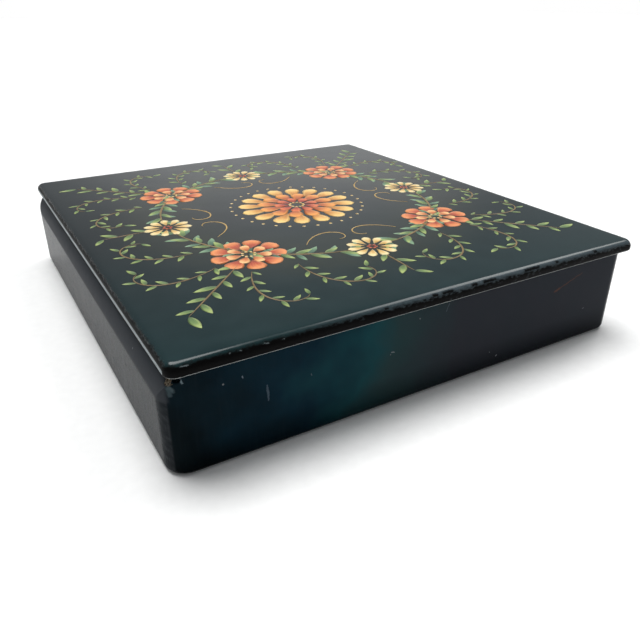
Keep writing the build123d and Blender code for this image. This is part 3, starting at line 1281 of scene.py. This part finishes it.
def petal_tree() -> BrushTree:
    """Build the tree that sets a ring of strokes at every blossom.

    Returns:
        The finished tree.
    """
    brush = BrushTree("petal_rings", Stroke="Object", Petals="Int", Ring="Float")
    add, given = brush.add, brush.given
    ring = add("GeometryNodeMeshCircle", {"Vertices": given["Petals"], "Radius": given["Ring"]})
    outwards = brush.facing(brush.heading(add("GeometryNodeInputPosition")))
    stroke = add("GeometryNodeObjectInfo", {"Object": given["Stroke"]}, out="Geometry")
    petals = {"Points": ring, "Instance": stroke, "Rotation": outwards}
    blossom = add("GeometryNodeInstanceOnPoints", petals)
    return brush.close(
        add("GeometryNodeInstanceOnPoints", {"Points": given["Geometry"], "Instance": blossom})
    )


def leaf_tree() -> BrushTree:
    """Build the tree that sets strokes along lines, turned to one side and the other by turns.

    Returns:
        The finished tree.
    """
    brush = BrushTree(
        "leaf_rows", Stroke="Object", Spacing="Float", Splay="Float", Smallest="Float", Seed="Int"
    )
    add, given = brush.add, brush.given
    line = add("GeometryNodeMeshToCurve", {"Mesh": given["Geometry"]})
    spaced = add("GeometryNodeResampleCurve", {"Curve": line, "Length": given["Spacing"]}, mode="LENGTH")
    parity = add("Math", (add("GeometryNodeInputIndex"), 2.0), operation="MODULO")
    side = add("Math", (parity, 2.0, -1.0), operation="MULTIPLY_ADD")
    along = brush.heading(add("GeometryNodeInputTangent"))
    angle = add("Math", (side, given["Splay"], along), operation="MULTIPLY_ADD")
    sizes = {2: given["Smallest"], 3: 1.0, "Seed": given["Seed"]}
    luck = add("FunctionNodeRandomValue", sizes, data_type="FLOAT")
    stroke = add("GeometryNodeObjectInfo", {"Object": given["Stroke"]}, out="Geometry")
    leaves = {"Points": spaced, "Instance": stroke, "Rotation": brush.facing(angle), "Scale": luck}
    return brush.close(add("GeometryNodeInstanceOnPoints", leaves))


def line_tree() -> BrushTree:
    """Build the tree that draws lines with a pointed brush, full in the middle and thin at the ends.

    Returns:
        The finished tree.
    """
    sides, thin = 6, 0.3
    brush = BrushTree("brush_lines", Thickness="Float")
    add, given = brush.add, brush.given
    line = add("GeometryNodeMeshToCurve", {"Mesh": given["Geometry"]})
    arch = add("Math", (add("GeometryNodeSplineParameter"), math.pi), operation="MULTIPLY")
    press = add("Math", (arch,), operation="SINE")
    width = add("Math", (press, 1 - thin, thin), operation="MULTIPLY_ADD")
    radius = add("Math", (given["Thickness"], 0.5), operation="MULTIPLY")
    section = add("GeometryNodeCurvePrimitiveCircle", {"Resolution": sides, "Radius": radius})
    drawn = {"Curve": line, "Profile Curve": section, "Scale": width, "Fill Caps": True}
    return brush.close(add("GeometryNodeCurveToMesh", drawn))


def curl(start: Pair, heading: float, length: float, bend: float = 0, tighten: float = 0) -> list[Vector]:
    """Draw a line that bends, and bends faster towards its end, as a tendril does.

    Args:
        start: Where it begins, in millimetres.
        heading: Its first direction in degrees.
        length: Its length in millimetres.
        bend: Degrees that it turns evenly over its length.
        tighten: Degrees that it turns besides, most of them near its end.

    Returns:
        Points along the line, in metres.
    """
    steps = 28
    found = [Vector((*start, 0.0)) * MM]
    for step in range(steps):
        share = (step + 0.5) / steps
        angle = math.radians(heading + bend * share + tighten * share**3)
        found.append(found[-1] + Vector((math.cos(angle), math.sin(angle), 0)) * (length * MM / steps))
    return found


def both_sides(lines: Lines) -> list[list[Vector]]:
    """Join lines with their mirror images across the diagonal between +X and +Y."""
    return [*lines, *([Vector((p.y, p.x, p.z)) for p in line] for line in lines)]


def polar(radius: float, degrees: float) -> Vector:
    """A point by its distance in millimetres and its angle from the lid's middle."""
    angle = math.radians(degrees)
    return Vector((math.cos(angle), math.sin(angle), 0)) * (radius * MM)


def lines_mesh(lines: Lines) -> Mesh:
    """Make a mesh of points joined in lines.

    Args:
        lines: Each line's points. A line of one point stays a point.

    Returns:
        The mesh.
    """
    points: list[Vector] = []
    edges: list[tuple[int, int]] = []
    for line in lines:
        edges += [(len(points) + i, len(points) + i + 1) for i in range(len(line) - 1)]
        points += line
    mesh = bpy.data.meshes.new("brush_lines")
    mesh.from_pydata(points, edges, [])
    return mesh


@dataclass
class LidPainting:
    """A wreath of blossoms and leaves round a rosette, painted on the lid in thin layers."""

    lid: LidBoard
    # Radius in millimetres
    wreath: float = 63.0
    smallest_leaf: float = 0.7
    # How far a layer's rim sinks, up to which height it is rim, and how thick a layer gets
    sink: float = 0.01 * MM
    rim: float = 0.0025 * MM
    thickest: float = 0.08 * MM
    petals: BrushTree = field(default_factory=petal_tree)
    leaves: BrushTree = field(default_factory=leaf_tree)
    lines: BrushTree = field(default_factory=line_tree)
    pots: dict[Paint, Material] = field(default_factory=dict)

    def lay(self, name: str, mesh: Mesh, lift: float) -> Object:
        """Lay flat paint on the crowned lid, with its rim just under the lacquered ground.

        Args:
            name: Name of the layer.
            mesh: The paint, on the plane of zero height.
            lift: Height of the layer, so that later strokes cover earlier ones.

        Returns:
            The finished piece.
        """
        for vertex in mesh.vertices:
            at = vertex.co
            at.xy += self.lid.middle
            height = lift + min(at.z, self.thickest) if at.z > self.rim else -self.sink
            at.z = self.lid.ground(at.x, at.y) + height
        mesh.name = name
        made = put_in_scene(name, mesh)
        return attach(made, Body.LID.value)

    def paint(
        self,
        name: str,
        brush: BrushTree,
        lines: Lines,
        paint: Paint,
        lift: float,
        stroke: Stroke | None = None,
        turns: int = 4,
        **values: float,
    ) -> Object:
        """Paint one layer.

        Args:
            name: Name of the layer.
            brush: The tree that paints it.
            lines: The lines or points that it follows in the first part of the lid.
            paint: Its colour, mixed the first time that it is used.
            lift: Height of the layer in millimetres.
            stroke: The brush mark, where the tree repeats one.
            turns: How often the part repeats round the lid.
            values: The tree's own inputs.

        Returns:
            The finished piece.
        """
        if paint not in self.pots:
            self.pots[paint] = paint.value.material()
        inputs = {**values, "Turns": turns, "Finish": self.pots[paint]}
        if stroke:
            inputs["Stroke"] = put_in_scene(stroke.name, stroke.mesh())
        mesh = brush.run(lines_mesh(lines), inputs)
        if stroke:
            bpy.data.objects.remove(inputs["Stroke"])
        return self.lay(name, mesh, lift * MM)

    def build(self) -> list[Object]:
        """Paint the layers from the ground up."""
        return self.foliage() + self.blossoms()

    def foliage(self) -> list[Object]:
        """Paint stems, leaves and tendrils.

        Returns:
            The painted layers.
        """
        steps, sweep = 20, 37
        wreath = both_sides([[polar(self.wreath, 45 - i * sweep / steps) for i in range(steps + 1)]])
        sprays = both_sides([curl((64, 34), 5, 46, -70, -150), curl((52, 62), 62, 40, 40, 130)])
        straight = [curl((54, 54), 45, 42), curl((72, 0), 0, 18)]
        tendrils = both_sides([curl((49, 22), 215, 32, 60, 190)])
        leaf = Stroke("broad_leaf", 9.5 * MM, 3.6 * MM, belly=0.45, pointed=0.9, bend=0.7 * MM)
        small = Stroke("small_leaf", 6.4 * MM, 2.3 * MM, belly=0.45, pointed=0.9, bend=0.5 * MM)
        # Name, colour, lines and greatest width in millimetres
        drawn = (
            ("wreath_stems", Paint.STEM, wreath, 1.1),
            ("spray_stems", Paint.STEM, straight + sprays, 0.8),
            ("inner_tendrils", Paint.TENDRIL, tendrils, 0.7),
        )
        # Name, brush mark, colour, lines, spacing in millimetres, splay in degrees, seed and lift
        rows = (
            ("wreath_leaves_cool", leaf, Paint.COOL_LEAF, wreath, 4.4, 58, 3, 0.0),
            ("wreath_leaves_warm", leaf, Paint.WARM_LEAF, wreath, 5.6, 34, 8, 0.02),
            ("spray_leaves_warm", small, Paint.WARM_LEAF, sprays, 3.8, 48, 5, 0.02),
            ("corner_leaves", leaf, Paint.WARM_LEAF, straight, 4.6, 46, 7, 0.02),
        )
        done = [
            self.paint(name, self.lines, lines, paint, 0.0, Thickness=width * MM)
            for name, paint, lines, width in drawn
        ]
        for name, stroke, paint, lines, spacing, splay, seed, lift in rows:
            size = {"Spacing": spacing * MM, "Splay": math.radians(splay), "Smallest": self.smallest_leaf}
            done.append(self.paint(name, self.leaves, lines, paint, lift, stroke, Seed=seed, **size))
        return done

    def blossoms(self) -> list[Object]:
        """Paint the blossoms of the wreath and the rosette in the middle.

        Returns:
            The painted layers.
        """
        large, small, middle = polar(self.wreath + 2, 45), polar(self.wreath, 0), Vector((0, 0, 0))
        broad = Stroke("broad_petal", 10 * MM, 8.5 * MM, belly=0.68, pointed=0.6)
        inner = Stroke("inner_petal", 7 * MM, 5.5 * MM, belly=0.68, pointed=0.6)
        narrow = Stroke("narrow_petal", 8 * MM, 4.2 * MM, belly=0.7, pointed=0.7)
        dot = Stroke("dot", 1.5 * MM, 1.5 * MM, belly=0.5, pointed=0.5, heel=0.5, rows=6)
        long = Stroke("long_petal", 15 * MM, 8.2 * MM, belly=0.7, pointed=0.65)
        full = Stroke("rosette_petal", 12 * MM, 7.6 * MM, belly=0.68, pointed=0.6)
        short = Stroke("short_petal", 8 * MM, 5.4 * MM, belly=0.68, pointed=0.6)
        bead = Stroke("rosette_dot", 1.6 * MM, 1.6 * MM, belly=0.5, pointed=0.5, heel=0.5, rows=6)
        # Name, brush mark, colour, marks in a ring, its radius in millimetres, its middle, turns and lift
        rings = (
            ("large_blossom_outer", broad, Paint.CORAL_PETAL, 9, 5.5, large, 4, 0.03),
            ("large_blossom_inner", inner, Paint.ROSE_PETAL, 7, 2.5, large, 4, 0.06),
            ("large_blossom_dots", dot, Paint.CREAM_PETAL, 8, 2.4, large, 4, 0.1),
            ("small_blossom_petals", narrow, Paint.CREAM_PETAL, 11, 2.6, small, 4, 0.03),
            ("small_blossom_dots", dot, Paint.RED_PETAL, 6, 1.5, small, 4, 0.08),
            ("rosette_outer", long, Paint.GOLD_PETAL, 16, 13, middle, 1, 0.0),
            ("rosette_middle", full, Paint.ORANGE_PETAL, 12, 7, middle, 1, 0.03),
            ("rosette_inner", short, Paint.RED_PETAL, 9, 3, middle, 1, 0.06),
            ("rosette_dots", bead, Paint.CREAM_PETAL, 12, 3.2, middle, 1, 0.1),
            ("rosette_halo", bead, Paint.CREAM_PETAL, 32, 31, middle, 1, 0.0),
        )
        return [
            self.paint(name, self.petals, [[at]], paint, lift, stroke, turns, Petals=count, Ring=radius * MM)
            for name, stroke, paint, count, radius, at, turns, lift in rings
        ]


@dataclass
class InsideBoards:
    """The floor board and the rim strips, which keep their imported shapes."""

    floor: str = "bottom_board"
    sides: tuple[str, ...] = ("front", "back", "left", "right")

    def dress(self) -> list[Object]:
        """Give the boards their red lacquer."""
        strips = [f"rim_strip_{side}" for side in self.sides]
        return dress([self.floor, *strips], RedLacquer().material())


@dataclass
class Hinges:
    """The leaves and pins of the two hinges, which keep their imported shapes."""

    ends: tuple[str, ...] = ("front", "back")
    leaf_worn: float = 0.42
    pin_worn: float = 0.62

    def dress(self) -> list[Object]:
        """Give the leaves and pins their worn brass.

        Returns:
            The dressed pieces.
        """
        leaves = [f"hinge_{side}_leaf_{end}" for end in self.ends for side in ("wall", "lid")]
        pins = [f"hinge_pin_{end}" for end in self.ends]
        blackened = HingeBrass("blackened_brass", self.leaf_worn).material()
        bare = HingeBrass("worn_brass", self.pin_worn).material()
        return dress(leaves, blackened) + dress(pins, bare)


@dataclass(frozen=True)
class SoftLight:
    """A soft round light, far off: where it stands, how wide its full and faint parts are, how bright."""

    azimuth: float
    elevation: float
    full: float
    faint: float
    strength: float

    def direction(self) -> Vector:
        """The way to the light.

        Returns:
            A vector of length 1.
        """
        azimuth, elevation = math.radians(self.azimuth), math.radians(self.elevation)
        level = math.cos(elevation)
        return Vector((level * math.sin(azimuth), level * math.cos(azimuth), math.sin(elevation)))


@dataclass
class Studio:
    """A white paper floor under a grey sky, with soft lights high behind the box, at its right and low."""

    floor_half: float = 4.0
    floor_drop: float = 0.3 * MM
    # Colours of the sky by height
    sky: Stops = ((0.0, "#FFFFFF"), (0.03, "#ABADAE"), (0.12, "#97999B"))
    lights: tuple[SoftLight, ...] = (
        SoftLight(azimuth=-6, elevation=72, full=17, faint=23, strength=7.6),
        SoftLight(azimuth=72, elevation=47, full=11, faint=17, strength=5.0),
        SoftLight(azimuth=27, elevation=7, full=5, faint=22, strength=0.4),
    )

    def build(self) -> None:
        """Build the floor and the lights."""
        half = self.floor_half
        corners = [(-half, -half), (half, -half), (half, half), (-half, half)]
        mesh = bpy.data.meshes.new("floor")
        mesh.from_pydata([(x, y, -self.floor_drop) for x, y in corners], [], [(0, 1, 2, 3)])
        mesh.materials.append(FloorPaper().material())
        put_in_scene("floor", mesh)
        world = bpy.data.worlds.new("studio")
        world.use_nodes = True
        world.node_tree.nodes.clear()
        add = partial(add_node, world.node_tree)
        way = add("TexCoord", out="Generated")
        height = add("SeparateXYZ", (way,), out="Z")
        lit = add("Background", {"Color": add("ValToRGB", (height,), stops=self.sky)})
        for light in self.lights:
            near = add("VectorMath", (way, light.direction()), operation="DOT_PRODUCT")
            rims = [math.cos(math.radians(angle)) for angle in (light.faint, light.full)]
            reach = (near, *rims, 0, light.strength)
            glow = add("MapRange", reach, interpolation_type="SMOOTHSTEP")
            shining = add("Background", {"Color": (1, 1, 1, 1), "Strength": glow})
            lit = add("AddShader", (lit, shining))
        add("OutputWorld", {"Surface": lit})
        bpy.context.scene.world = world
        bpy.context.scene.view_settings.view_transform = "Standard"


@dataclass
class PhotoCamera:
    """The camera where the photo was taken from."""

    place: Triple = (-135.997 * MM, -255.837 * MM, 130.793 * MM)
    azimuth: float = 30.305
    elevation: float = 27.414
    focal_pixels: float = 629.562
    image_pixels: float = 640.0
    sensor_millimetres: float = 36.0
    clip_start: float = 0.01

    def build(self) -> Object:
        """Build the camera and look through it.

        Returns:
            The camera.
        """
        data = bpy.data.cameras.new("photo_camera")
        data.sensor_width = self.sensor_millimetres
        data.lens = self.focal_pixels / self.image_pixels * self.sensor_millimetres
        data.clip_start = self.clip_start
        camera = put_in_scene("photo_camera", data)
        camera.location = self.place
        camera.rotation_euler = (math.radians(90 - self.elevation), 0, math.radians(-self.azimuth))
        bpy.context.scene.camera = camera
        return camera


def main() -> None:
    """Build every piece in order, then the studio and the camera."""
    logging.basicConfig(level=logging.INFO, format="%(message)s")
    seats = HingeSeats()
    lid = LidBoard(seats)
    pieces = [WallRing(seats).build(), lid.build()]
    pieces += InsideBoards().dress()
    pieces += Hinges().dress()
    pieces += LidPainting(lid).build()
    for piece in pieces:
        log.info("%s: %d faces", piece.name, len(piece.data.polygons))
    Studio().build()
    PhotoCamera().build()


if __name__ == "__main__":
    main()
